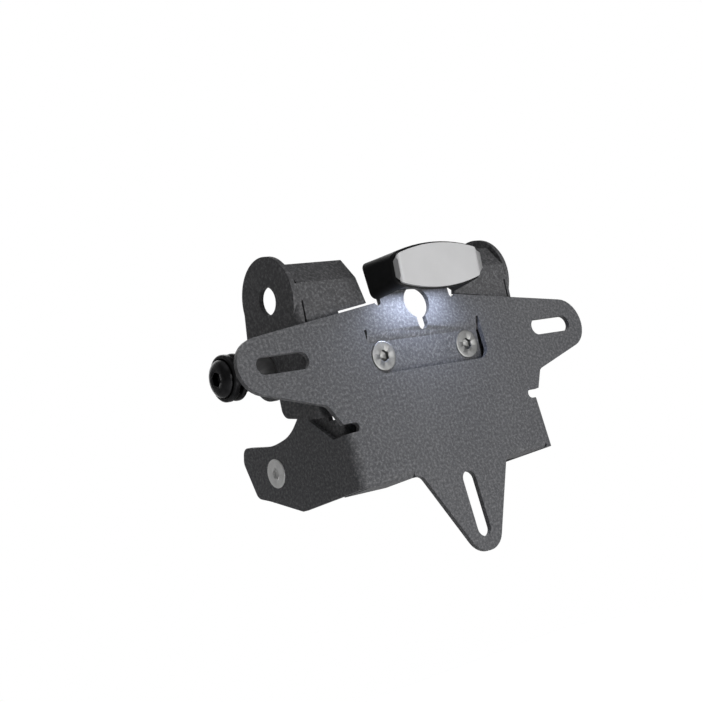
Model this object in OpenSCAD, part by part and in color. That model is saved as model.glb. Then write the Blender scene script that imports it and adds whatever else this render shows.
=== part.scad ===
// Number plate holder: a folded plate carrier bolted to a folded bracket, with a plate lamp on
// top. Millimetres, X to the right as seen when facing the plate, Y away from the viewer behind
// the plate, Z up along the plate. The origin lies on the plate face between the ear slots.

/* [Plate carrier] */
// Thickness of the carrier sheet
sheet = 2; // [1.5:0.5:3]
// Half width of the carrier across its side wings
wing_x = 49.5; // [47:0.5:52]
// Outer radius of the wing bends
wing_bend = 4; // [3:0.5:5]
// Height of the carrier's lower edge below the ear slots
low_z = 48.5; // [46:0.5:52]
// Top edge height on the centre line, before it slopes to the ears
top_z = 20.3; // [19:0.1:21.5]
// Drop of the top edge for each millimetre outwards
top_slope = 0.125; // [0.1:0.005:0.15]
// Distance of the ear tip's centre from the middle
ear_x = 76.6; // [76:0.1:80]
// Radius of the ear tips
ear_r = 10.4; // [9:0.1:12]
// Width of the three plate slots
slot_w = 6.5; // [5.5:0.1:8]
// Distance of the ear slot's middle from the centre line
slot_x = 68.2; // [66:0.1:69]
// Overall length of an ear slot
slot_len = 22.4; // [18:0.1:24]
// Overall length of the lower slot
drop_len = 25; // [20:0.5:28]
// Height of the lower slot's middle below the ear slots
drop_z = 63; // [61:0.5:65]
// Radius of the lower ear's tip
drop_r = 8.6; // [7:0.1:10]
// Radius of the cable hole above the tongue
key_r = 6.2; // [5:0.1:7]
// Height of the cable hole's centre
key_z = 16.3; // [15.5:0.1:17]
// Width of the narrow part of the cable hole
key_w = 4.6; // [3:0.1:6]
// Reach of the side wings behind the plate face
wing_reach = 69.2; // [66:0.1:72]
// Depth of the return lips along the lower edge
lip_depth = 18; // [10:1:24]
// Height of the lamp tab's top edge
tab_z = 32.5; // [31.5:0.5:34]
// Half width of the lamp tab
tab_x = 17.5; // [16:0.5:18]

/* [Tongue and its screws] */
// Half width of the tongue
tongue_x = 28; // [26.5:0.1:28.5]
// Gap cut out between the tongue and the carrier at each side
tongue_gap = 1.2; // [0.8:0.1:1.8]
// Distance of each tongue screw from the centre line
tongue_screw_x = 21.3; // [18:0.1:21.5]
// Height of the tongue screws along the bracket's face
tongue_screw_z = -1.9; // [-3:0.1:-1]

/* [Mounting bracket] */
// Thickness of the bracket sheet
bracket_t = 2; // [1.5:0.5:2.5]
// Half width of the bracket across its side plates
side_x = 55; // [53.5:0.5:57]
// Lean of the bracket's front face towards the plate
lean = 7; // [6:0.5:7.5]
// Outer radius of the bracket's bends
side_bend = 3; // [2.5:0.5:4]
// Radius of the round side flanges
disc_r = 16.4; // [15:0.1:17.5]
// Diameter of the holes in the round side flanges
stem_d = 10.5; // [8:0.5:14]
// Angle by which the top flanges lean back from the front face
top_fold = 38; // [25:1:45]
// Length of the top flanges along their slope
top_len = 10.5; // [8:0.5:12]
// Radius of the lugs round the frame bolts
lug_r = 11; // [10:0.5:13]
// Distance of the frame bolts behind the bracket's face
lug_y = 25.4; // [24:0.1:27]
// Height of the frame bolts above the ear slots
lug_z = 0.9; // [0:0.1:3]

/* [Lamp] */
// Width of the lamp
lamp_w = 43; // [41:0.5:45]
// Height of the lamp at its ends
lamp_end_h = 11.6; // [10:0.1:12]
// Height of the lamp on its centre line
lamp_mid_h = 18; // [16.5:0.1:19]
// Depth of the lamp housing in front of the carrier
lamp_depth = 15.5; // [14:0.5:18]
// Height of the lamp's centre where it meets the carrier
lamp_z = 27.6; // [27:0.1:28.5]
// Downward tilt of the lamp
lamp_tilt = 9; // [6:0.5:10]
// Wall of the lamp housing
lamp_wall = 1.8; // [1.4:0.1:2.2]
// Thickness of the front cover
cover_t = 3; // [2:0.5:4]
// Thickness of the rubber gasket under the lamp
gasket_t = 1; // [0.5:0.1:1.5]
// Distance of each lamp stud from the centre line
stud_x = 11; // [9:0.5:12]
// Diameter of the lamp studs
stud_d = 4; // [3:0.5:4.5]

/* [Fasteners] */
// Diameter of the tongue and wing screws
screw_d = 6; // [5:0.5:6]
// Head diameter of the tongue and wing screws
head_d = 11.2; // [10.5:0.1:12]
// Height of the countersunk heads
head_h = 1.8; // [1.6:0.1:1.9]
// Key size of the hexagon sockets
hex_key = 4; // [3:0.5:4.5]
// Depth of the hexagon sockets
hex_depth = 1.5; // [1:0.1:1.6]
// Straight rim of the countersunk heads, which stands proud of the sheet
head_rim = 0.5; // [0.3:0.1:0.6]
// Thickness of the plain washers
washer_t = 1.2; // [0.8:0.1:1.6]
// Diameter of the frame bolts
bolt_d = 8; // [6:0.5:8]
// Head diameter of the frame bolts
bolt_head_d = 14; // [13:0.5:15]
// Height of the domed heads of the frame bolts
bolt_head_h = 4.4; // [4:0.1:5]
// Length of the sleeves outside the side plates
sleeve_len = 14; // [10:1:16]
// Outer diameter of the sleeves
sleeve_d = 12; // [11:0.5:13]
// Diameter of the grooved collars round the frame bolt heads
collar_d = 17.4; // [16:0.1:20]
// Thickness of the collars' inner rim
collar_t = 1.8; // [1.5:0.1:3]
// Bore clearance of the screws and bolts
bore_gap = 0.4; // [0.3:0.1:0.6]

/* [Hidden] */
$fn = 48;
eps = 0.01;
big = 100;
// Gap kept between sheets that lie beside each other without touching
near_gap = 0.3;

// Corner rounding: each point is [a, b, radius], and a radius of 0 keeps the corner sharp
corner_steps = 6;
function arc(c, r, a0, a1, n = 14) = [for (i = [0:n]) c + r * [cos(a0 + (a1 - a0) * i / n), sin(a0 + (a1 - a0) * i / n)]];
function unit(v) = v / norm(v);
function corner_arc(p, a, b, r) =
    let (u = unit(a - p), v = unit(b - p), half = acos(max(-1, min(1, u * v))) / 2,
         c = p + unit(u + v) * r / sin(half),
         s = p + u * r / tan(half), e = p + v * r / tan(half),
         a0 = atan2(s[1] - c[1], s[0] - c[0]), a1 = atan2(e[1] - c[1], e[0] - c[0]),
         turn = a1 - a0 > 180 ? a1 - a0 - 360 : a1 - a0 < -180 ? a1 - a0 + 360 : a1 - a0)
    [for (i = [0:corner_steps]) c + r * [cos(a0 + turn * i / corner_steps), sin(a0 + turn * i / corner_steps)]];
function flat(p) = [p[0], p[1]];
function rounded(pts) =
    let (n = len(pts))
    [for (i = [0:n - 1]) let (p = pts[i])
        each p[2] == 0 ? [flat(p)]
            : corner_arc(flat(p), flat(pts[(i + n - 1) % n]), flat(pts[(i + 1) % n]), p[2])];

// A sheet in the XZ plane from y0 backwards by t, from a 2D outline of X and Z
module face_sheet(y0, t) {
    translate([0, y0 + t, 0]) rotate([90, 0, 0]) linear_extrude(t) children();
}
// A sheet in the YZ plane from x0 to x0 + t, from a 2D outline of Y and Z
module side_sheet(x0, t) {
    translate([x0, 0, 0]) rotate([90, 0, 90]) linear_extrude(t) children();
}
// A slot with round ends along the first axis, len_all long and w wide
module slot_shape(len_all, w) {
    run = len_all - w;
    square([run, w], center = true);
    for (s = [-1, 1]) translate([s * run / 2, 0]) circle(d = w);
}
module both_sides() {
    children();
    mirror([1, 0, 0]) children();
}
// A tube or washer along +Y from y0
module ring_y(y0, t, d, bore) {
    translate([0, y0, 0]) rotate([-90, 0, 0]) difference() {
        cylinder(h = t, d = d);
        translate([0, 0, -1]) cylinder(h = t + 2, d = bore);
    }
}
// A round bar along +Y from the point p
module bar_at(p, h, d) {
    translate(p) rotate([-90, 0, 0]) cylinder(h = h, d = d);
}
// A countersunk screw along +Y with its flat head face at y = 0
module flat_screw(length) {
    difference() {
        rotate([-90, 0, 0]) rotate_extrude() polygon([[0, 0], [head_d / 2, 0], [head_d / 2, head_rim],
            [screw_d / 2, head_h], [screw_d / 2, length], [0, length]]);
        translate([0, -1, 0]) rotate([-90, 30, 0]) cylinder(h = hex_depth + 1, d = hex_key / cos(30), $fn = 6);
    }
}
// The hole that a countersunk screw sits in, with the screw's own cone as its seat
module flat_screw_hole(t) {
    seat_rise = bore_gap / 2 * (head_h - head_rim) / (head_d / 2 - screw_d / 2);
    rotate([-90, 0, 0]) rotate_extrude() polygon([[0, -1], [head_d / 2, -1], [head_d / 2, head_rim],
        [screw_d / 2 + bore_gap / 2, head_h - seat_rise], [screw_d / 2 + bore_gap / 2, t + 1], [0, t + 1]]);
}
module hex_nut(y0, across, h, bore) {
    translate([0, y0, 0]) rotate([-90, 0, 0]) difference() {
        cylinder(h = h, d = across / cos(30), $fn = 6);
        translate([0, 0, -1]) cylinder(h = h + 2, d = bore);
    }
}

function edge_z(x) = top_z - top_slope * x;

// Outline of the carrier, right half
relief_r = 1.75;
relief_z = -26.6;
relief_in = 0.25;
flat_x = wing_x - wing_bend;
outline_corner = 3;
tab_relief_r = 1.5;
ear_neck = [54.4, -17.4];
ear_step_x = 50.2;
ear_low_angle = -73;
drop_tip_z = -(drop_z + drop_len / 2 - slot_w / 2);
drop_angle = -27;
lip_bend = 2.5;
lip_x0 = 25;
lip_end_gap = 0.7;
lip_x1 = flat_x - lip_end_gap;
drop_side = [drop_r * cos(drop_angle), drop_tip_z + drop_r * sin(drop_angle)];
drop_root = [drop_side[0] + (-low_z - drop_side[1]) * tan(-drop_angle), -low_z];
carrier_half = concat(
    [[0, tab_z]],
    corner_arc([tab_x, tab_z], [0, tab_z], [tab_x, 0], outline_corner),
    [[tab_x, edge_z(tab_x)]],
    arc([ear_x, 0], ear_r, 90 - atan(top_slope), ear_low_angle),
    corner_arc(ear_neck, [ear_x, 0] + ear_r * [cos(ear_low_angle), sin(ear_low_angle)],
        [ear_step_x, relief_z + relief_r], outline_corner),
    [[ear_step_x, relief_z + relief_r], [flat_x, relief_z + relief_r],
     [flat_x, -low_z], [lip_x1, -low_z], [lip_x1, -low_z + lip_bend],
     [lip_x0, -low_z + lip_bend], [lip_x0, -low_z]],
    corner_arc(drop_root, [lip_x0, -low_z], drop_side, outline_corner),
    arc([0, drop_tip_z], drop_r, drop_angle, -90, 8));

// Window round the tongue
window_x = tongue_x + tongue_gap;
window_top = 8;
window_low = -9.2;
window_corner = 5;
key_low = 5.6;
window_half = concat([[0, window_top], [window_x, window_top]],
    corner_arc([window_x, window_low], [window_x, window_top], [0, window_low], window_corner),
    [[0, window_low]]);

// The bracket's leaning front face passes through this depth at the height of the ear slots
face_y = 4.38;
module on_bracket() {
    translate([0, face_y, 0]) rotate([lean, 0, 0]) children();
}
tongue_low = -10.6;
tongue_high = 3.2;
// The flat tongue runs this far up into the step above it
step_lap = 0.7;
// Where the step's front and back begin to turn, above and below its folds
step_fold = 1;
inner_fold = 0.6;

module carrier_holes() {
    translate([0, -drop_z]) rotate(90) slot_shape(drop_len, slot_w);
    for (s = [-1, 1]) {
        translate([s * slot_x, 0]) slot_shape(slot_len, slot_w);
        translate([s * (flat_x - relief_in), relief_z]) circle(r = relief_r);
        translate([s * (tab_x + tab_relief_r), edge_z(tab_x)]) circle(r = tab_relief_r);
        translate([s * stud_x, lamp_z]) circle(d = stud_d + bore_gap);
    }
    translate([0, key_z]) circle(r = key_r);
    translate([-key_w / 2, window_top - 1]) square([key_w, key_z - window_top]);
}

// Side wing: outline of Y and Z
wing_outline = rounded([
    [wing_bend, -low_z, 0],
    [wing_bend, relief_z - relief_r, 0],
    [9, relief_z - relief_r, 1.2],
    [24.5, -14.2, 2.5],
    [34, -20.4, 20],
    [47, -21.3, 36],
    [wing_reach - 2.6, -16.9, 3.5],
    [wing_reach, -22.5, 4],
    [wing_reach - 3.6, -37.6, 4],
    [58, -40.3, 3],
    [38.5, -low_z, 2]]);
wing_screw_y = 49;
wing_screw_z = -31.3;

module wing() {
    difference() {
        side_sheet(wing_x - sheet, sheet) polygon(wing_outline);
        translate([wing_x + head_rim, wing_screw_y, wing_screw_z]) rotate([0, 0, 90]) flat_screw_hole(sheet);
    }
    // Bend from the face into the wing
    intersection() {
        translate([flat_x, wing_bend, -low_z]) difference() {
            cylinder(h = low_z + relief_z - relief_r, r = wing_bend);
            translate([0, 0, -1]) cylinder(h = low_z, r = wing_bend - sheet);
        }
        translate([flat_x, 0, -low_z]) cube([wing_bend, wing_bend, low_z]);
    }
}
// Return lip along the lower edge, bent back from the face
module lip() {
    translate([lip_x0, 0, 0]) {
        intersection() {
            translate([0, lip_bend, lip_bend - low_z]) rotate([0, 90, 0]) difference() {
                cylinder(h = lip_x1 - lip_x0, r = lip_bend);
                translate([0, 0, -1]) cylinder(h = lip_x1 - lip_x0 + 2, r = lip_bend - sheet);
            }
            translate([0, 0, -low_z]) cube([lip_x1 - lip_x0, lip_bend, lip_bend]);
        }
        translate([0, lip_bend, -low_z]) cube([lip_x1 - lip_x0, lip_depth - lip_bend, sheet]);
    }
}
module tongue() {
    sheet_run = sheet / cos(lean);
    step_y = face_y - tongue_high * tan(lean) - sheet_run;
    cut_y = step_y + sheet_run + 2;
    difference() {
        side_sheet(-tongue_x, 2 * tongue_x)
            polygon([[0, window_top + eps], [0, window_top - step_fold], [step_y, tongue_high],
                [step_y + sheet_run, tongue_high], [step_y + sheet_run, tongue_high + inner_fold],
                [sheet, window_top - inner_fold], [sheet, window_top + eps]]);
        bar_at([0, -1, key_low + key_w / 2], cut_y + 1, key_w);
        translate([-key_w / 2, -1, key_low + key_w / 2]) cube([key_w, cut_y + 1, window_top]);
    }
    on_bracket() difference() {
        translate([-tongue_x, -sheet, tongue_low]) cube([2 * tongue_x, sheet, tongue_high + step_lap - tongue_low]);
        for (s = [-1, 1]) translate([s * tongue_screw_x, -sheet - head_rim, tongue_screw_z])
            flat_screw_hole(sheet + head_rim);
    }
}
module plate_carrier() {
    color([0.13, 0.13, 0.14]) union() {
        face_sheet(0, sheet) difference() {
            union() {
                polygon(carrier_half);
                mirror([1, 0]) polygon(carrier_half);
            }
            polygon(window_half);
            mirror([1, 0]) polygon(window_half);
            carrier_holes();
        }
        tongue();
        both_sides() {
            wing();
            lip();
        }
    }
}

// Mounting bracket, drawn in the frame of its leaning face: X and the height W along the face
arm_x = 36.5;
web_top = tongue_high;
web_end_x = side_x - side_bend;
slit = 1.3;
fold_w = 28.8;
fin_foot_x = 22.7;
fin_top_x = 25.3;
side_low = -20.2;
// Legs bent back inside the wings and clamped to them by the wing screws. Their round ends run
// into straight edges that lean by leg_rise above and leg_fall below
leg_x = wing_x - sheet;
leg_foot_x = leg_x - side_bend;
leg_high = -21.7;
leg_low = -34;
leg_end_r = 8;
// A place given by Y and Z in the carrier's frame, in the bracket's leaning frame
function in_bracket(y, z) = [(y - face_y) * cos(lean) + z * sin(lean), z * cos(lean) - (y - face_y) * sin(lean)];
leg_screw = in_bracket(wing_screw_y, wing_screw_z);
leg_rise_y = 4;
leg_shoulder = [[4.6, -17.2], [12, -18.2]];
leg_rise = -12;
leg_fall = 8;
// Relief slit in the web beside the round flange
side_slit = 0.8;
slit_low = 12;
slit_high = 22.3;
module web_outline() {
    polygon(concat(
        [[0, web_top]],
        corner_arc([arm_x, web_top], [0, web_top], [arm_x, top_z], outline_corner),
        [[arm_x, edge_z(arm_x) + slit], [fin_foot_x, edge_z(fin_foot_x) + slit], [fin_top_x, fold_w],
         [web_end_x, fold_w], [web_end_x, side_low], [leg_foot_x, side_low], [leg_foot_x, leg_low],
         [0, leg_low]]));
}
disc_y = disc_r;
disc_w = 25.8;
// The straight back edge between the round flange and the lug leaves both at this angle
back_angle = 16;
back_notch = 6;
// Lower back corner of the side plates, below the lug
side_corner = [21, -17.3];
side_corner_r = 4;
module side_outline() {
    polygon(concat([[side_bend, side_low]],
        corner_arc(side_corner, [side_bend, side_low], [side_corner[0], lug_z], side_corner_r),
        [[side_corner[0], lug_z], [lug_y, lug_z],
         [lug_y + lug_r * cos(back_angle), lug_z + lug_r * sin(back_angle)],
         [disc_y + disc_r * cos(back_angle), disc_w - disc_r * sin(back_angle) + back_notch],
         [disc_y, disc_w], [side_bend, fold_w]]));
    translate([disc_y, disc_w]) circle(r = disc_r);
    translate([lug_y, lug_z]) circle(r = lug_r);
}
module side_plate() {
    difference() {
        side_sheet(side_x - bracket_t, bracket_t) difference() {
            side_outline();
            translate([disc_y, disc_w]) circle(d = stem_d);
            translate([lug_y, lug_z]) circle(d = bolt_d + bore_gap);
        }
        // Nothing of the round flange stands in front of the leaning face
        translate([0, -10, 0]) cube([big, 10, big]);
    }
    // Bend from the web into the side plate
    intersection() {
        translate([web_end_x, side_bend, 0]) difference() {
            translate([0, 0, side_low]) cylinder(h = fold_w - side_low, r = side_bend);
            translate([0, 0, side_low - 1]) cylinder(h = fold_w - side_low + 2, r = side_bend - bracket_t);
        }
        translate([web_end_x, 0, side_low]) cube([side_bend, side_bend, fold_w - side_low]);
    }
}
module leg() {
    side_sheet(leg_x - bracket_t, bracket_t) difference() {
        union() {
            polygon(concat([[side_bend, leg_low], [side_bend, leg_high], [leg_rise_y, leg_high]],
                leg_shoulder, [leg_screw + leg_end_r * [sin(leg_rise), cos(leg_rise)], leg_screw,
                leg_screw - leg_end_r * [sin(leg_fall), cos(leg_fall)]]));
            translate(leg_screw) circle(r = leg_end_r);
        }
        translate(leg_screw) circle(d = screw_d + bore_gap);
    }
    intersection() {
        translate([leg_foot_x, side_bend, leg_low]) difference() {
            cylinder(h = leg_high - leg_low, r = side_bend);
            translate([0, 0, -1]) cylinder(h = leg_high - leg_low + 2, r = side_bend - bracket_t);
        }
        translate([leg_foot_x, 0, leg_low]) cube([side_bend, side_bend, leg_high - leg_low]);
    }
}
// Top flange, folded back from the leaning face and cut clear of the round flange
module top_flange() {
    translate([fin_top_x, 0, fold_w]) rotate([-top_fold, 0, 0])
        cube([side_x - bracket_t - near_gap * 2 - fin_top_x, bracket_t, top_len]);
}
module mounting_bracket() {
    color([0.1, 0.1, 0.11]) on_bracket() {
        face_sheet(0, bracket_t) difference() {
            union() {
                web_outline();
                mirror([1, 0]) web_outline();
            }
            for (s = [-1, 1]) {
                translate([s * tongue_screw_x, tongue_screw_z]) circle(d = screw_d + bore_gap);
                translate([s * (web_end_x - side_slit / 2) - side_slit / 2, slit_low])
                    square([side_slit, slit_high - slit_low]);
            }
        }
        both_sides() {
            side_plate();
            leg();
            top_flange();
        }
    }
}

// Lamp, drawn along its own tilted axis: X across, Y back towards the carrier, Z up
module on_lamp() {
    translate([0, 0, lamp_z]) rotate([lamp_tilt, 0, 0]) children();
}
// Barrel-shaped section: straight ends joined by shallow arcs above and below
function barrel(w, end_h, mid_h) =
    let (half = w / 2, rise = (mid_h - end_h) / 2, r = (half * half + rise * rise) / (2 * rise),
         a = asin(half / r), c = mid_h / 2 - r)
    concat(arc([0, c], r, 90 - a, 90 + a, 12), arc([0, -c], r, 270 - a, 270 + a, 12));
module barrel_block(y0, depth, shrink = 0) {
    translate([0, y0 + depth, 0]) rotate([90, 0, 0])
        linear_extrude(depth) polygon(barrel(lamp_w - 2 * shrink, lamp_end_h - 2 * shrink, lamp_mid_h - 2 * shrink));
}
boss_d = 8;
boss_len = 4.4;
// Thickness of the housing's back wall
lamp_back = 3.8;
// The lens window in the underside, from y0 to y1
window_w = 28;
window_y0 = -lamp_depth + 2.5;
window_y1 = -5;
lens_gap = 0.1;
// The window's cut ends this far under the lamp's centre
window_head = 3;
// Plastic left in front of the blind bores of the studs
stud_skin = 1.5;
cable_d = 7;
cable_drop = 4.2;
post_x = 9;
post_d = 4;
post_len = 3;
board_t = 1.2;
board_w = 7;
board_top = 4.6;
led_size = 2.4;
led_h = 1;
led_pitch = 8;
// Overhang of the cover's edge round the housing, and the rim that clips it in
cover_lip = 0.3;
rim_len = 2.4;
rim_t = 1.2;
gasket_side = 1;
gasket_low = 6;
module behind_lamp() {
    translate([-big / 2, -gasket_t, -big / 2]) cube(big);
}
module lamp_window(margin = 0) {
    translate([-window_w / 2 + margin, window_y0 + margin, -lamp_mid_h])
        cube([window_w - 2 * margin, window_y1 - window_y0 - 2 * margin, lamp_mid_h - window_head]);
}
module lamp_housing() {
    color([0.06, 0.06, 0.065]) difference() {
        union() {
            difference() {
                on_lamp() difference() {
                    barrel_block(-lamp_depth, lamp_depth + 2 * lamp_back);
                    barrel_block(-lamp_depth - 1, lamp_depth + 1 - lamp_back, lamp_wall);
                    lamp_window();
                }
                behind_lamp();
            }
            for (s = [-1, 1]) bar_at([s * stud_x, -gasket_t - boss_len, lamp_z], boss_len, boss_d);
            on_lamp() for (s = [-1, 1]) translate([s * post_x, window_y1 - 2, board_top]) cylinder(h = post_len, d = post_d);
        }
        for (s = [-1, 1]) bar_at([s * stud_x, -gasket_t - boss_len + stud_skin, lamp_z], boss_len, stud_d);
        bar_at([0, -gasket_t - lamp_back - 1, lamp_z - cable_drop], lamp_back + 2, cable_d);
    }
}
module lamp_cover() {
    color([0.62, 0.63, 0.65]) on_lamp() {
        barrel_block(-lamp_depth - cover_t, cover_t, -cover_lip);
        difference() {
            barrel_block(-lamp_depth, rim_len, lamp_wall);
            barrel_block(-lamp_depth - 1, rim_len + 2, lamp_wall + rim_t);
        }
    }
}
module lamp_lens() {
    color([0.86, 0.9, 0.95]) on_lamp() intersection() {
        difference() {
            barrel_block(-lamp_depth, lamp_depth);
            barrel_block(-lamp_depth - 1, lamp_depth + 2, lamp_wall);
        }
        lamp_window(lens_gap);
    }
}
module lamp_board() {
    color([0.1, 0.35, 0.16]) on_lamp()
        translate([-window_w / 2, window_y0, board_top - board_t]) cube([window_w, board_w, board_t]);
}
module lamp_leds() {
    color([0.95, 0.93, 0.8]) on_lamp() for (s = [-1, 0, 1])
        translate([s * led_pitch - led_size / 2, window_y0 + (board_w - led_size) / 2, board_top - board_t - led_h])
            cube([led_size, led_size, led_h]);
}
module lamp_gasket() {
    color([0.08, 0.08, 0.08]) difference() {
        translate([gasket_side - tab_x, -gasket_t, lamp_z - gasket_low])
            cube([2 * (tab_x - gasket_side), gasket_t, tab_z - gasket_side - lamp_z + gasket_low]);
        for (s = [-1, 1]) bar_at([s * stud_x, -gasket_t - 1, lamp_z], gasket_t + 2, stud_d + bore_gap);
        bar_at([0, -gasket_t - 1, lamp_z - cable_drop], gasket_t + 2, cable_d + 1);
    }
}
stud_washer_d = 9;
stud_washer_t = 0.8;
stud_nut = [7, 3.2];
stud_end = 0.8;
module lamp_studs() {
    stud_tip = sheet + stud_washer_t + stud_nut[1] + stud_end;
    color([0.7, 0.7, 0.72]) for (s = [-1, 1])
        bar_at([s * stud_x, -gasket_t - boss_len + stud_skin, lamp_z],
            boss_len - stud_skin + gasket_t + stud_tip, stud_d);
}
module lamp_washers() {
    color([0.72, 0.72, 0.74]) for (s = [-1, 1]) translate([s * stud_x, 0, lamp_z])
        ring_y(sheet, stud_washer_t, stud_washer_d, stud_d + bore_gap);
}
module lamp_nuts() {
    color([0.66, 0.67, 0.69]) for (s = [-1, 1]) translate([s * stud_x, 0, lamp_z])
        hex_nut(sheet + stud_washer_t, stud_nut[0], stud_nut[1], stud_d);
}

// Fasteners of the tongue, in the bracket's frame
nut_across = 10;
nut_h = 5;
washer_od = 12;
screw_end = 1.2;
module tongue_screws() {
    color([0.62, 0.63, 0.64]) on_bracket() for (s = [-1, 1])
        translate([s * tongue_screw_x, -sheet - head_rim, tongue_screw_z])
            flat_screw(head_rim + sheet + bracket_t + washer_t + nut_h + screw_end);
}
module tongue_washers() {
    color([0.72, 0.72, 0.74]) on_bracket() for (s = [-1, 1]) translate([s * tongue_screw_x, 0, tongue_screw_z])
        ring_y(bracket_t, washer_t, washer_od, screw_d + bore_gap);
}
module tongue_nuts() {
    color([0.66, 0.67, 0.69]) on_bracket() for (s = [-1, 1]) translate([s * tongue_screw_x, 0, tongue_screw_z])
        hex_nut(bracket_t + washer_t, nut_across, nut_h, screw_d);
}
// Fasteners of the wings, along X
module at_wing(x) {
    both_sides() translate([x, wing_screw_y, wing_screw_z]) rotate([0, 0, 90]) children();
}
module wing_screws() {
    color([0.62, 0.63, 0.64]) at_wing(wing_x + head_rim)
        flat_screw(head_rim + sheet + bracket_t + washer_t + nut_h + screw_end);
}
module wing_washers() {
    color([0.72, 0.72, 0.74]) at_wing(leg_x - bracket_t) ring_y(0, washer_t, washer_od, screw_d + bore_gap);
}
module wing_nuts() {
    color([0.66, 0.67, 0.69]) at_wing(leg_x - bracket_t - washer_t) hex_nut(0, nut_across, nut_h, screw_d);
}
// Frame bolts through the sleeves and the lugs, along X, in the bracket's frame
neck_len = 2.2;
neck_d = 12.4;
cup_t = 1.9;
cup_floor = 0.4;
cup_gap = 0.4;
collar_edge = 0.5;
bolt_washer_d = 17;
bolt_washer_t = 1.6;
bolt_nut = [13, 6.8];
bolt_end = 1.6;
bolt_dome = 2.4;
bolt_key = 5;
bolt_socket_depth = 2.4;
// Half width of the dome's flat crown, as a part of the head's radius
crown = 0.55;
// Profile of the domed head: a quarter ellipse from the flat crown to the rim
function dome_point(t) = let (a = t * 90)
    [bolt_head_d / 2 * (crown + (1 - crown) * sin(a)), bolt_dome * (1 - cos(a))];
module at_lug(x) {
    on_bracket() both_sides() translate([x, lug_y, lug_z]) rotate([0, 0, 90]) children();
}
collar_x = side_x + sleeve_len;
head_x = collar_x + collar_t + neck_len;
bolt_tip_x = side_x - bracket_t - bolt_washer_t - bolt_nut[1] - bolt_end;
module frame_bolts() {
    color([0.09, 0.09, 0.1]) at_lug(head_x + bolt_head_h) difference() {
        rotate([-90, 0, 0]) rotate_extrude() polygon(concat(
            [[0, 0]],
            [for (i = [0:corner_steps]) dome_point(i / corner_steps)],
            [[bolt_head_d / 2, bolt_head_h], [bolt_d / 2, bolt_head_h],
             [bolt_d / 2, head_x + bolt_head_h - bolt_tip_x], [0, head_x + bolt_head_h - bolt_tip_x]]));
        translate([0, -1, 0]) rotate([-90, 30, 0]) cylinder(h = bolt_socket_depth + 1, d = bolt_key / cos(30), $fn = 6);
    }
}
module bolt_collars() {
    color([0.08, 0.08, 0.085]) at_lug(head_x) rotate([-90, 0, 0]) difference() {
        rotate_extrude() polygon([[0, -cup_t], [collar_d / 2 - collar_edge, -cup_t],
            [collar_d / 2, collar_edge - cup_t], [collar_d / 2, cup_floor], [neck_d / 2, cup_floor],
            [neck_d / 2, neck_len], [collar_d / 2 - collar_edge, neck_len],
            [collar_d / 2, neck_len + collar_edge], [collar_d / 2, neck_len + collar_t], [0, neck_len + collar_t]]);
        translate([0, 0, -cup_t - 1]) cylinder(h = cup_t + 1, d = bolt_head_d + cup_gap);
        translate([0, 0, -1]) cylinder(h = neck_len + collar_t + 2, d = bolt_d + bore_gap);
    }
}
module bolt_sleeves() {
    color([0.6, 0.6, 0.62]) at_lug(collar_x) ring_y(0, sleeve_len, sleeve_d, bolt_d + bore_gap);
}
module bolt_washers() {
    color([0.72, 0.72, 0.74]) at_lug(side_x - bracket_t) ring_y(0, bolt_washer_t, bolt_washer_d, bolt_d + bore_gap);
}
module bolt_nuts() {
    color([0.66, 0.67, 0.69]) at_lug(side_x - bracket_t - bolt_washer_t) hex_nut(0, bolt_nut[0], bolt_nut[1], bolt_d);
}

plate_carrier();
mounting_bracket();
lamp_housing();
lamp_cover();
lamp_lens();
lamp_board();
lamp_leds();
lamp_gasket();
lamp_studs();
lamp_washers();
lamp_nuts();
tongue_screws();
tongue_washers();
tongue_nuts();
wing_screws();
wing_washers();
wing_nuts();
frame_bolts();
bolt_collars();
bolt_sleeves();
bolt_washers();
bolt_nuts();
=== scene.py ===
import math

import bmesh
import bpy
import numpy as np
from mathutils import Matrix, Vector


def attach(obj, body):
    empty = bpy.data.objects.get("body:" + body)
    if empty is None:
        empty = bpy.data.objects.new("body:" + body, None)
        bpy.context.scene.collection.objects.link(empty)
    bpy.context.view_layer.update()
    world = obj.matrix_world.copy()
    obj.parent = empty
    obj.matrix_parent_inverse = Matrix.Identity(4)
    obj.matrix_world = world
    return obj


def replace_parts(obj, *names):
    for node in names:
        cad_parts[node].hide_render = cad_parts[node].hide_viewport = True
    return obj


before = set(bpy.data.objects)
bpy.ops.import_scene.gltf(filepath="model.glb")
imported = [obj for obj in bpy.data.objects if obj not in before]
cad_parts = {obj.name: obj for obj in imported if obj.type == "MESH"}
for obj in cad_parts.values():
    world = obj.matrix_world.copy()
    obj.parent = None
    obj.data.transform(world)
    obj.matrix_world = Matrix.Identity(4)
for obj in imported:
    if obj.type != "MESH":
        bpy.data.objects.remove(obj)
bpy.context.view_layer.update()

# ---------------------------------------------------------------- plate carrier
# The carrier that the number plate is screwed to: one laser-cut blank of 2 mm steel with two side
# wings and two return lips bent back, a pressed tongue in the middle, three plate slots and the
# lamp's tab on top. It is powder coated all over in a fine-grained dark grey.


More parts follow.
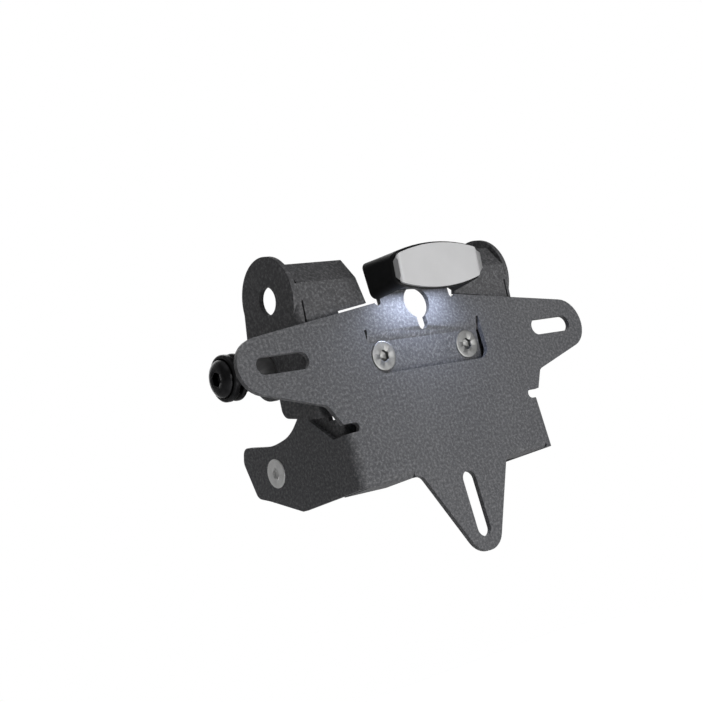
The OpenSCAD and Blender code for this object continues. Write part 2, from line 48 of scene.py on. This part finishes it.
def dressed_copy(node, edge, segments=2, crease=28):
    """A copy of a CAD node's mesh with its loose triangles merged and its flat faces joined up. Every
    edge that turns by more than the crease angle is rounded over by the edge width, in metres."""
    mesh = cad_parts[node].data.copy()
    mesh.name = node + "_dressed"
    work = bmesh.new()
    work.from_mesh(mesh)
    bmesh.ops.remove_doubles(work, verts=work.verts, dist=2e-6)
    bmesh.ops.dissolve_limit(
        work, angle_limit=math.radians(0.6), verts=work.verts, edges=work.edges
    )
    for face in work.faces:
        face.smooth = True
    work.to_mesh(mesh)
    work.free()
    if not edge:
        mesh.set_sharp_from_angle(angle=math.radians(crease))
    mesh.materials.clear()
    piece = bpy.data.objects.new(node + "_dressed", mesh)
    bpy.context.scene.collection.objects.link(piece)
    if edge:
        rim = piece.modifiers.new("rounded edges", "BEVEL")
        rim.width = edge
        rim.segments = segments
        rim.limit_method = "ANGLE"
        rim.angle_limit = math.radians(crease)
        rim.use_clamp_overlap = True
    shade = piece.modifiers.new("flat faces stay flat", "WEIGHTED_NORMAL")
    shade.mode = "FACE_AREA"
    shade.weight = 100
    shade.keep_sharp = True
    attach(piece, "root")
    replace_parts(piece, node)
    return piece


def start_material(name):
    """An empty node tree with a Principled shader on its output, and short ways to add and join nodes."""
    material = bpy.data.materials.new(name)
    material.use_nodes = True
    tree = material.node_tree
    tree.nodes.clear()
    shader = tree.nodes.new("ShaderNodeBsdfPrincipled")
    output = tree.nodes.new("ShaderNodeOutputMaterial")
    tree.links.new(shader.outputs["BSDF"], output.inputs["Surface"])
    place = tree.nodes.new("ShaderNodeTexCoord").outputs["Object"]
    return material, tree, shader, place


def noise(tree, place, scale, detail=4.0, roughness=0.55, distortion=0.0):
    """Cloudy noise on the object's own coordinates: its factor runs from 0 to 1 about 0.5."""
    cloud = tree.nodes.new("ShaderNodeTexNoise")
    cloud.inputs["Scale"].default_value = scale
    cloud.inputs["Detail"].default_value = detail
    cloud.inputs["Roughness"].default_value = roughness
    cloud.inputs["Distortion"].default_value = distortion
    tree.links.new(place, cloud.inputs["Vector"])
    return cloud.outputs["Fac"]


def ramp(tree, source, *stops):
    """A colour ramp through (position, colour) stops, where a plain number stands for a grey."""
    band = tree.nodes.new("ShaderNodeValToRGB")
    points = band.color_ramp.elements
    while len(points) < len(stops):
        points.new(0.5)
    for point, (at, tone) in zip(points, stops):
        point.position = at
        point.color = (tone, tone, tone, 1) if isinstance(tone, (int, float)) else (*tone, 1)
    tree.links.new(source, band.inputs["Fac"])
    return band.outputs["Color"]


def bump(tree, shader, *layers):
    """Adds bump layers, each (height, distance in metres, strength), one on top of the other."""
    last = None
    for height, distance, strength in layers:
        relief = tree.nodes.new("ShaderNodeBump")
        relief.inputs["Distance"].default_value = distance
        relief.inputs["Strength"].default_value = strength
        tree.links.new(height, relief.inputs["Height"])
        if last:
            tree.links.new(last, relief.inputs["Normal"])
        last = relief.outputs["Normal"]
    tree.links.new(last, shader.inputs["Normal"])


def blend_over(tree, factor, below, above):
    """Lays the above colour over the below colour by the factor."""
    mix = tree.nodes.new("ShaderNodeMix")
    mix.data_type = "RGBA"
    tree.links.new(factor, mix.inputs["Factor"])
    for tone, socket in ((below, mix.inputs["A"]), (above, mix.inputs["B"])):
        if isinstance(tone, tuple):
            socket.default_value = (*tone, 1)
        else:
            tree.links.new(tone, socket)
    return mix.outputs["Result"]


def powder_coat(name, dark, light, speck, shine=0.28):
    """Fine-grained powder coat: a leathery grain about half a millimetre across with painted shade in its
    low pits, a few paler flakes where the grain stands highest, and slow cloudy changes of tone from the spraying."""
    material, tree, shader, place = start_material(name)
    grain = noise(tree, place, 950, 4, 0.7)
    cloud = noise(tree, place, 28, 2)
    base = ramp(tree, cloud, (0.3, dark), (0.72, light))
    # painted shade: where the grain is low, its pits are darkened towards 0.45 of the dark tone
    pit_painted_shade = ramp(tree, grain, (0.34, 0.55), (0.50, 0.0))
    shade_pitted_base = blend_over(tree, pit_painted_shade, base, tuple(0.45 * v for v in dark))
    flake = ramp(tree, grain, (0.50, 0.0), (0.66, 1.0))
    tree.links.new(blend_over(tree, flake, shade_pitted_base, speck), shader.inputs["Base Color"])
    tree.links.new(ramp(tree, grain, (0.35, 0.68), (0.7, 0.50)), shader.inputs["Roughness"])
    shader.inputs["Specular IOR Level"].default_value = shine
    bump(tree, shader, (grain, 0.00009, 0.6), (noise(tree, place, 420, 2), 0.00008, 0.3))
    return material


carrier = dressed_copy("plate_carrier", 0.00035)
carrier_coat = powder_coat("carrier powder coat", (0.072, 0.073, 0.078), (0.088, 0.089, 0.094), (0.15, 0.15, 0.155))
carrier.data.materials.append(carrier_coat)

# ------------------------------------------------------------- mounting bracket
# The bracket behind it, which carries the carrier's tongue, the two indicators and the frame bolts:
# one blank of 2 mm steel with side plates, round indicator flanges and folded top flanges, in the
# same powder coat painted a little darker, as painted shade for the bracket sitting behind the carrier.

bracket = dressed_copy("mounting_bracket", 0.00035)
# painted shade: the bracket's coat is a darker copy of the carrier's coat
bracket.data.materials.append(
    powder_coat("bracket powder coat with painted shade", (0.058, 0.058, 0.061), (0.070, 0.070, 0.073), (0.12, 0.12, 0.125))
)

# ------------------------------------------------------------------ lamp housing
# The plate lamp's body: moulded black ABS with softly rounded edges, screwed to the carrier's tab
# by two studs moulded into its back.


def moulded_plastic(name, dark, light, rough, grain_depth, shine=0.5):
    """Moulded plastic: nearly even in colour, with the faint grain of the tool and a slow orange peel."""
    material, tree, shader, place = start_material(name)
    peel = noise(tree, place, 260, 2)
    fine = noise(tree, place, 2600, 2)
    tree.links.new(ramp(tree, peel, (0.3, dark), (0.7, light)), shader.inputs["Base Color"])
    tree.links.new(ramp(tree, fine, (0.3, rough - 0.05), (0.7, rough + 0.06)), shader.inputs["Roughness"])
    shader.inputs["Specular IOR Level"].default_value = shine
    bump(tree, shader, (peel, grain_depth, 0.25), (fine, grain_depth / 3, 0.5))
    return material


def moulded_taper(piece, inset=0.0, raised=0.0, corner=0.0):
    """Shapes a lamp piece as it was moulded, in the lamp's own frame (turned 9 degrees about X, its
    centre at height 27.6). The section blends from the barrel at the front to its outline at the back:
    5.6 above the centre, 9 below it at the ends and 5.5 below it between them, where the light comes
    out. The width grows by a twentieth on the way. The joint plane moves forward from 15.5 to 17, the
    outline draws in by the inset there, and the long outer corners take a round edge."""
    tilt, half_width, bulge = math.radians(9), 21.5, 3.2
    arc_radius = (half_width**2 + bulge**2) / (2 * bulge)
    points = np.array([v.co for v in piece.data.vertices]) * 1000
    at_back = points[:, 1] > -1.01
    x, up = points[:, 0], points[:, 2] - 27.6
    y = points[:, 1] * math.cos(tilt) + up * math.sin(tilt)
    z = up * math.cos(tilt) - points[:, 1] * math.sin(tilt)
    barrel = 9.0 - arc_radius + np.sqrt(arc_radius**2 - np.clip(x, -half_width, half_width) ** 2)
    y = np.where(np.abs(y + 15.5) < 0.01, -17.0, y)
    back = np.clip((y + 17.0) / 17.0, 0, 1)
    outer = (y < -16.9) & ((np.abs(z) > barrel - 0.5) | (np.abs(x) > half_width - 0.5))
    x = np.where(outer, x * (1 - inset / half_width), x)
    z = np.where(outer, z * (1 - inset / barrel), z)
    below = np.interp(np.abs(x), (14.6, 17.5), (5.5, 9.0))
    z = z / barrel * (barrel + (np.where(z < 0, below, 5.6) - barrel) * back) + raised
    x = x * (1 + 0.05 * back)
    points = np.stack(
        [x, y * math.cos(tilt) - z * math.sin(tilt), y * math.sin(tilt) + z * math.cos(tilt) + 27.6], axis=-1
    )
    points[at_back, 1] = -1.0
    for vertex, place in zip(piece.data.vertices, points / 1000):
        vertex.co = place
    if corner:
        work = bmesh.new()
        work.from_mesh(piece.data)
        long_edges = [
            edge
            for edge in work.edges
            if all(abs(v.co.x) > 0.0207 for v in edge.verts)
            and abs(edge.verts[0].co.y - edge.verts[1].co.y) > 0.001
            and edge.calc_face_angle(0) > 1.0
        ]
        bmesh.ops.bevel(work, geom=long_edges, offset=corner, segments=6, profile=0.5, affect="EDGES")
        for face in work.faces:
            face.smooth = True
        work.to_mesh(piece.data)
        work.free()


housing = dressed_copy("lamp_housing", 0.0005, 3, 40)
moulded_taper(housing, corner=0.0026)
housing.data.materials.append(
    moulded_plastic("housing plastic", (0.003, 0.003, 0.0035), (0.006, 0.006, 0.0065), 0.5, 0.00004, 0.2)
)

# -------------------------------------------------------------------- lamp cover
# The lamp's front cover: a cast lid painted satin silver grey, clipped into the housing by a rim
# behind its edge. Its face is bare.

cover = dressed_copy("lamp_cover", 0.0004, 4, 40)
moulded_taper(cover, inset=1.0, corner=0.0022)


def satin_paint(name, dark, light, rough):
    """Satin silver paint: a fine metallic grain over an even pale grey, under a thin clear coat."""
    material, tree, shader, place = start_material(name)
    flake = noise(tree, place, 5200, 2)
    cloud = noise(tree, place, 60, 3)
    base = ramp(tree, cloud, (0.3, dark), (0.7, light))
    tone = blend_over(tree, ramp(tree, flake, (0.55, 0.0), (0.75, 0.35)), base, tuple(v * 1.12 for v in light))
    tree.links.new(tone, shader.inputs["Base Color"])
    tree.links.new(ramp(tree, flake, (0.3, rough - 0.04), (0.7, rough + 0.05)), shader.inputs["Roughness"])
    shader.inputs["Metallic"].default_value = 0.15
    shader.inputs["Coat Weight"].default_value = 0.12
    shader.inputs["Coat Roughness"].default_value = 0.3
    bump(tree, shader, (flake, 0.00001, 0.4), (cloud, 0.00008, 0.2))
    return material


cover.data.materials.append(satin_paint("cover satin paint", (0.445, 0.445, 0.45), (0.485, 0.485, 0.49), 0.45))

# ------------------------------------------------- lamp lens, board and light emitters
# The light side of the lamp: a clear polycarbonate window in the underside, three white emitters on
# a green board above it. The lamp is lit, so the emitters glow and the plate below catches the light.

lens = dressed_copy("lamp_lens", 0.0)
moulded_taper(lens, raised=0.6)
lens_glass, tree, shader, place = start_material("lens polycarbonate")
frost = noise(tree, place, 900, 2)
tree.links.new(ramp(tree, frost, (0.3, (0.90, 0.94, 1.0)), (0.7, (0.96, 0.98, 1.0))), shader.inputs["Base Color"])
tree.links.new(ramp(tree, frost, (0.3, 0.24), (0.7, 0.34)), shader.inputs["Roughness"])
shader.inputs["Transmission Weight"].default_value = 0.85
shader.inputs["IOR"].default_value = 1.5
tree.links.new(
    ramp(tree, frost, (0.3, (0.62, 0.72, 1.0)), (0.7, (0.70, 0.79, 1.0))), shader.inputs["Emission Color"]
)
shader.inputs["Emission Strength"].default_value = 0.5
bump(tree, shader, (frost, 0.00003, 0.3))
lens.data.materials.append(lens_glass)

board = dressed_copy("lamp_board", 0.0)
board.data.materials.append(moulded_plastic("board solder mask", (0.01, 0.10, 0.03), (0.015, 0.14, 0.045), 0.35, 0.00002))

emitters = dressed_copy("lamp_leds", 0.0001, 2, 40)
phosphor, tree, shader, place = start_material("emitter phosphor")
grit = noise(tree, place, 3000, 2)
tree.links.new(ramp(tree, grit, (0.3, (0.85, 0.80, 0.45)), (0.7, (0.95, 0.92, 0.60))), shader.inputs["Base Color"])
tree.links.new(ramp(tree, grit, (0.3, (0.80, 0.88, 1.0)), (0.7, (0.9, 0.95, 1.0))), shader.inputs["Emission Color"])
shader.inputs["Emission Strength"].default_value = 6.0
shader.inputs["Roughness"].default_value = 0.5
emitters.data.materials.append(phosphor)

# -------------------------------------------------------------------- lamp gasket
# The seal between the lamp and the carrier's tab: a flat piece punched from black foam rubber.

gasket = dressed_copy("lamp_gasket", 0.00015, 2, 40)
rubber, tree, shader, place = start_material("gasket rubber")
pores = noise(tree, place, 1800, 4)
tree.links.new(ramp(tree, pores, (0.35, 0.006), (0.7, 0.016)), shader.inputs["Base Color"])
tree.links.new(ramp(tree, pores, (0.3, 0.92), (0.7, 0.78)), shader.inputs["Roughness"])
bump(tree, shader, (pores, 0.0001, 0.8))
gasket.data.materials.append(rubber)

# ---------------------------------------------------------------- screws and bolts
# Countersunk M6 screws with 4 mm hexagon sockets hold the tongue and the wings, in dull stainless
# steel with rolled threads; the wing screws' steel is painted paler as a painted reflection of the
# bright surroundings. Two M8 bolts with low domed heads, chemically blackened, hold the bracket to the bike.


def metal(name, dark, light, rough, spread=0.1, brushed=0.0, metallic=1.0):
    """Worked metal: cloudy tone that is darker where its faint relief is low, and fine scratches that roughen it."""
    material, tree, shader, place = start_material(name)
    cloud = noise(tree, place, 350, 5)
    fine = noise(tree, place, 4200, 3, 0.6, 0.4)
    tree.links.new(ramp(tree, cloud, (0.32, dark), (0.68, light)), shader.inputs["Base Color"])
    tree.links.new(ramp(tree, fine, (0.3, rough - spread / 2), (0.7, rough + spread)), shader.inputs["Roughness"])
    shader.inputs["Metallic"].default_value = metallic
    bump(tree, shader, (fine, 0.000012, 0.5), (cloud, 0.00002, 0.2 + brushed))
    return material


def hexagon(turn, flat):
    """Radius of a hexagon with that distance across its flats: half of it over the cosine of the
    angle to the middle of the nearest side."""
    return flat / 2 / np.cos((turn + math.pi / 6) % (math.pi / 3) - math.pi / 6)


def ring_mesh(rings):
    """Joins rings of points, each of shape (around, 3), into a closed surface: quads from each ring to
    the next, and a single middle point that closes a ring whose points all lie on the axis."""
    rows, around = len(rings), len(rings[0])
    points = np.concatenate(rings)
    column = np.arange(around)
    start = np.arange(rows - 1)[:, None] * around
    quads = np.stack(
        [start + column, start + (column + 1) % around, start + around + (column + 1) % around, start + around + column],
        axis=-1,
    ).reshape(-1, 4)
    return points, quads


def fastener(name, shapes, material, angle=32):
    """One piece from several (points, quads) surfaces in metres: doubles merged, normals outwards,
    and edges sharper than the angle kept sharp in the shading."""
    points = np.concatenate([p for p, _ in shapes])
    offset = np.cumsum([0] + [len(p) for p, _ in shapes[:-1]])
    quads = np.concatenate([q + o for (_, q), o in zip(shapes, offset)])
    mesh = bpy.data.meshes.new(name)
    mesh.from_pydata(points.tolist(), [], quads.tolist())
    work = bmesh.new()
    work.from_mesh(mesh)
    bmesh.ops.remove_doubles(work, verts=work.verts, dist=1e-6)
    bmesh.ops.recalc_face_normals(work, faces=work.faces)
    for face in work.faces:
        face.smooth = True
    work.to_mesh(mesh)
    work.free()
    mesh.set_sharp_from_angle(angle=math.radians(angle))
    mesh.materials.append(material)
    piece = bpy.data.objects.new(name, mesh)
    bpy.context.scene.collection.objects.link(piece)
    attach(piece, "root")
    return piece


def socket_screw(length, head_d, shank_d, flat, depth, head_profile, pitch, head_end, around=96):
    """A screw along +Y with its head's face at y = 0. Ring by ring, the radius is a hexagon in the
    socket, then a circle along the head, then a circle that rises and falls once a pitch along a
    helix: minor radius plus thread depth times a clipped triangle wave of (y / pitch - turn)."""
    turn = np.linspace(0, 2 * math.pi, around, endpoint=False)
    one = np.ones(around)
    hexed = hexagon(turn, flat)
    rings = [(0 * one, (depth + flat * 0.22) * one), (hexed * 0.55, (depth + flat * 0.13) * one), (hexed, depth * one)]
    rings += [(hexed, y * one) for y in np.linspace(depth * 0.95, 0.16, 5)]
    mouth = np.maximum(hexed, flat / 2 * 1.16)
    rings.append((mouth, 0.0 * one))
    rings += [(r * one, y * one) for r, y in head_profile]
    thread_depth = 0.6 * pitch
    along = np.arange(head_end, length - 0.45 * pitch, pitch / 9)
    for y in along:
        wave = 2 * np.abs((y / pitch - turn / (2 * math.pi)) % 1.0 - 0.5)
        lift = np.clip((wave - 0.12) / 0.76, 0, 1)
        fade = min(1.0, (y - head_end) / pitch)
        rings.append((shank_d / 2 - thread_depth * (1 - lift) * fade, y * one))
    root = shank_d / 2 - thread_depth
    rings += [(root * one, (length - 0.25 * pitch) * one), (root * 0.86 * one, length * one), (0 * one, length * one)]
    return ring_mesh([np.stack([r * np.cos(turn), y, r * np.sin(turn)], axis=-1) / 1000 for r, y in rings])


def set_at(shape, place, along):
    """Moves a shape made along +Y so that its origin is at the place, in millimetres, and its +Y axis
    points along the given direction."""
    turn = Vector((0, 1, 0)).rotation_difference(Vector(along)).to_matrix()
    points, quads = shape
    return points @ np.array(turn).T + np.array(place) / 1000, quads


lean = math.radians(7)
inward = (0, math.cos(lean), math.sin(lean))


def on_bracket(x, y, z):
    """A place on the bracket's leaning face: turned about X by 7 degrees and set 4.38 mm back."""
    return (x, 4.38 + y * math.cos(lean) - z * math.sin(lean), y * math.sin(lean) + z * math.cos(lean))


stainless = metal("screw stainless steel", (0.18, 0.18, 0.175), (0.25, 0.25, 0.245), 0.42)
flat_head = [(5.15, 0.0), (5.38, 0.03), (5.54, 0.12), (5.6, 0.26), (5.6, 0.5), (4.3, 1.15), (3.0, 1.8)]
tongue_screw = socket_screw(11.9, 11.2, 6.0, 4.0, 1.5, flat_head, 1.0, 1.9)
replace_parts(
    fastener(
        "tongue_screws_threaded",
        [set_at(tongue_screw, on_bracket(side * 21.3, -2.5, -1.9), inward) for side in (-1, 1)],
        stainless,
    ),
    "tongue_screws",
)
# painted reflection: the same screws as the tongue's, given a much paler, less metallic steel for the bright
# surroundings they reflect
wing_screw_painted_reflection = metal("wing screw steel with painted reflection", (0.66, 0.66, 0.655), (0.78, 0.78, 0.775), 0.5, metallic=0.5)
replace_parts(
    fastener(
        "wing_screws_threaded",
        [set_at(tongue_screw, (side * 50.0, 49.0, -31.3), (-side, 0, 0)) for side in (-1, 1)],
        wing_screw_painted_reflection,
    ),
    "wing_screws",
)

blackened = metal("bolt blackened steel", (0.018, 0.018, 0.019), (0.034, 0.034, 0.036), 0.34, 0.1, 0.1)
dome = [
    (7.0 * (0.55 + 0.45 * math.sin(a)), 2.4 * (1 - math.cos(a))) for a in np.linspace(0.02, math.pi / 2, 12)
] + [(7.0, 3.9), (6.9, 4.2), (6.6, 4.4), (4.0, 4.4)]
frame_bolt = socket_screw(34.4, 14.0, 8.0, 5.0, 2.4, dome, 1.25, 5.0)
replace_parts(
    fastener(
        "frame_bolts_threaded",
        [set_at(frame_bolt, on_bracket(side * 77.4, 25.4, 0.9), (-side, 0, 0)) for side in (-1, 1)],
        blackened,
    ),
    "frame_bolts",
)

# ------------------------------------------------------------------ nuts and studs
# Hexagon nuts with chamfered corners, zinc plated, behind every screw, bolt and lamp stud.


def hex_nut(flat, height, bore, around=96):
    """A nut along +Y from y = 0: a hexagon's radius round the sides, cut back near both faces by a
    30 degree cone that starts inside the flats, and a chamfered round bore."""
    turn = np.linspace(0, 2 * math.pi, around, endpoint=False)
    one = np.ones(around)
    side = hexagon(turn, flat)
    seat = flat / 2 * 0.95
    drop = (side - seat) * math.tan(math.radians(30))
    mid = height / 2
    rings = [
        (bore / 2 * one, mid * one),
        (bore / 2 * one, 0.5 * one),
        ((bore / 2 + 0.5) * one, 0.0 * one),
        (seat * one, 0.0 * one),
        ((seat + side) / 2, drop / 2),
        (side - 0.03, drop - 0.01),
        (side, drop + 0.06),
        (side, mid * one),
        (side, height - drop - 0.06),
        (side - 0.03, height - drop + 0.01),
        ((seat + side) / 2, height - drop / 2),
        (seat * one, height * one),
        ((bore / 2 + 0.5) * one, height * one),
        (bore / 2 * one, (height - 0.5) * one),
        (bore / 2 * one, mid * one),
    ]
    return ring_mesh([np.stack([r * np.cos(turn), y, r * np.sin(turn)], axis=-1) / 1000 for r, y in rings])


zinc = metal("nut zinc plate", (0.40, 0.40, 0.41), (0.52, 0.52, 0.53), 0.36)
nut_sets = {
    "tongue_nuts": (10.0, 5.0, 6.0, [(on_bracket(s * 21.3, 3.2, -1.9), inward) for s in (-1, 1)]),
    "wing_nuts": (10.0, 5.0, 6.0, [((s * 44.3, 49.0, -31.3), (-s, 0, 0)) for s in (-1, 1)]),
    "bolt_nuts": (13.0, 6.8, 8.0, [(on_bracket(s * 51.4, 25.4, 0.9), (-s, 0, 0)) for s in (-1, 1)]),
    "lamp_nuts": (7.0, 3.2, 4.0, [((s * 11.0, 2.8, 27.6), (0, 1, 0)) for s in (-1, 1)]),
}
for node, (flat, height, bore, seats) in nut_sets.items():
    nut = hex_nut(flat, height, bore)
    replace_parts(fastener(node + "_chamfered", [set_at(nut, *seat) for seat in seats], zinc), node)

# --------------------------------------------------------- washers, collars and sleeves
# Punched plain washers, zinc plated; turned collars round the frame bolts' heads, blackened; and
# turned steel sleeves that pass through the bike's lugs.

for node, edge in (("tongue_washers", 0.0002), ("wing_washers", 0.0002), ("bolt_washers", 0.0002), ("lamp_washers", 0.0001)):
    washer = dressed_copy(node, edge, 2, 40)
    washer.data.materials.append(zinc)
collars = dressed_copy("bolt_collars", 0.0003, 3, 35)
collars.data.materials.append(blackened)
sleeves = dressed_copy("bolt_sleeves", 0.0004, 2, 35)
sleeves.data.materials.append(metal("sleeve turned steel", (0.36, 0.36, 0.365), (0.46, 0.46, 0.465), 0.4))
studs = dressed_copy("lamp_studs", 0.0003, 2, 35)
studs.data.materials.append(zinc)

# --------------------------------------------------------------- camera, lights, floor
# The camera stands where the photograph was taken from, below and to the left of the plate. Two
# broad soft lamps and an even pale world light the part like a studio tent.

eye = bpy.data.cameras.new("photo camera")
eye.sensor_width = 36
eye.lens = 36 * 1242.15 / 703
eye.clip_start = 0.01
camera = bpy.data.objects.new("photo camera", eye)
bpy.context.scene.collection.objects.link(camera)
look_right = Vector((0.77541747, -0.56943659, -0.27289139))
look_up = Vector((0.10996348, -0.30378997, 0.94637185))
look_ahead = Vector((0.62180043, 0.76384136, 0.17294683))
camera.matrix_world = Matrix.Translation((-0.3159, -0.3420, -0.0766)) @ Matrix((look_right, look_up, -look_ahead)).transposed().to_4x4()
bpy.context.scene.camera = camera


def soft_lamp(name, towards, strength, spread):
    """A sun lamp with a wide disc, which lights evenly like a large soft box far away."""
    light = bpy.data.lights.new(name, "SUN")
    light.energy = strength
    light.angle = math.radians(spread)
    lamp = bpy.data.objects.new(name, light)
    lamp.rotation_mode = "QUATERNION"
    lamp.rotation_quaternion = Vector(towards).to_track_quat("-Z", "Y")
    bpy.context.scene.collection.objects.link(lamp)
    return lamp


soft_lamp("top soft box", (0.10, 0.30, -0.95), 0.35, 70)
soft_lamp("back soft box", (-0.30, -0.85, -0.40), 1.6, 60)
box_light = bpy.data.lights.new("front soft box", "AREA")
box_light.size = 0.9
box_light.energy = 13.5
front_box = bpy.data.objects.new("front soft box", box_light)
front_place = Vector((0.30, -1.10, -0.42))
front_box.matrix_world = Matrix.Translation(front_place) @ front_place.to_track_quat("Z", "Y").to_matrix().to_4x4()
front_box.visible_camera = False
bpy.context.scene.collection.objects.link(front_box)

glow = bpy.data.lights.new("lamp light", "AREA")
glow.shape = "RECTANGLE"
glow.size, glow.size_y = 0.030, 0.005
glow.energy = 0.022
glow.color = (0.70, 0.78, 1.0)
glow_lamp = bpy.data.objects.new("lamp light", glow)
glow_lamp.matrix_world = Matrix.Translation((-0.002, -0.0088, 0.0188)) @ Matrix.Rotation(math.radians(12), 4, "X")
glow_lamp.visible_camera = False
bpy.context.scene.collection.objects.link(glow_lamp)

world = bpy.data.worlds.new("studio tent")
world.use_nodes = True
bpy.context.scene.world = world
sky = world.node_tree
sky.nodes.clear()
seen = sky.nodes.new("ShaderNodeBackground")
seen.inputs["Color"].default_value = (1, 1, 1, 1)
seen.inputs["Strength"].default_value = 1.0
lit = sky.nodes.new("ShaderNodeBackground")
lit.inputs["Color"].default_value = (1, 1, 1, 1)
lit.inputs["Strength"].default_value = 0.22
ray = sky.nodes.new("ShaderNodeLightPath")
either = sky.nodes.new("ShaderNodeMath")
either.operation = "MAXIMUM"
sky.links.new(ray.outputs["Is Camera Ray"], either.inputs[0])
sky.links.new(ray.outputs["Is Transmission Ray"], either.inputs[1])
join = sky.nodes.new("ShaderNodeMixShader")
sky.links.new(either.outputs[0], join.inputs["Fac"])
sky.links.new(lit.outputs[0], join.inputs[1])
sky.links.new(seen.outputs[0], join.inputs[2])
sky.links.new(join.outputs[0], sky.nodes.new("ShaderNodeOutputWorld").inputs["Surface"])

floor_mesh = bpy.data.meshes.new("floor")
floor_mesh.from_pydata([(-8, -8, -1.05), (8, -8, -1.05), (8, 8, -1.05), (-8, 8, -1.05)], [], [(0, 1, 2, 3)])
floor = bpy.data.objects.new("floor", floor_mesh)
bpy.context.scene.collection.objects.link(floor)
floor_paint, tree, shader, place = start_material("floor paint")
tree.links.new(ramp(tree, noise(tree, place, 3, 2), (0.3, 0.84), (0.7, 0.86)), shader.inputs["Base Color"])
shader.inputs["Roughness"].default_value = 0.9
tree.nodes.new("ShaderNodeLightPath").name = "path"
shader.inputs["Emission Color"].default_value = (1, 1, 1, 1)
boost = tree.nodes.new("ShaderNodeMath")
boost.operation = "MULTIPLY"
boost.inputs[1].default_value = 0.75
tree.links.new(tree.nodes["path"].outputs["Is Camera Ray"], boost.inputs[0])
tree.links.new(boost.outputs[0], shader.inputs["Emission Strength"])
floor_mesh.materials.append(floor_paint)

bpy.context.scene.view_settings.view_transform = "Standard"
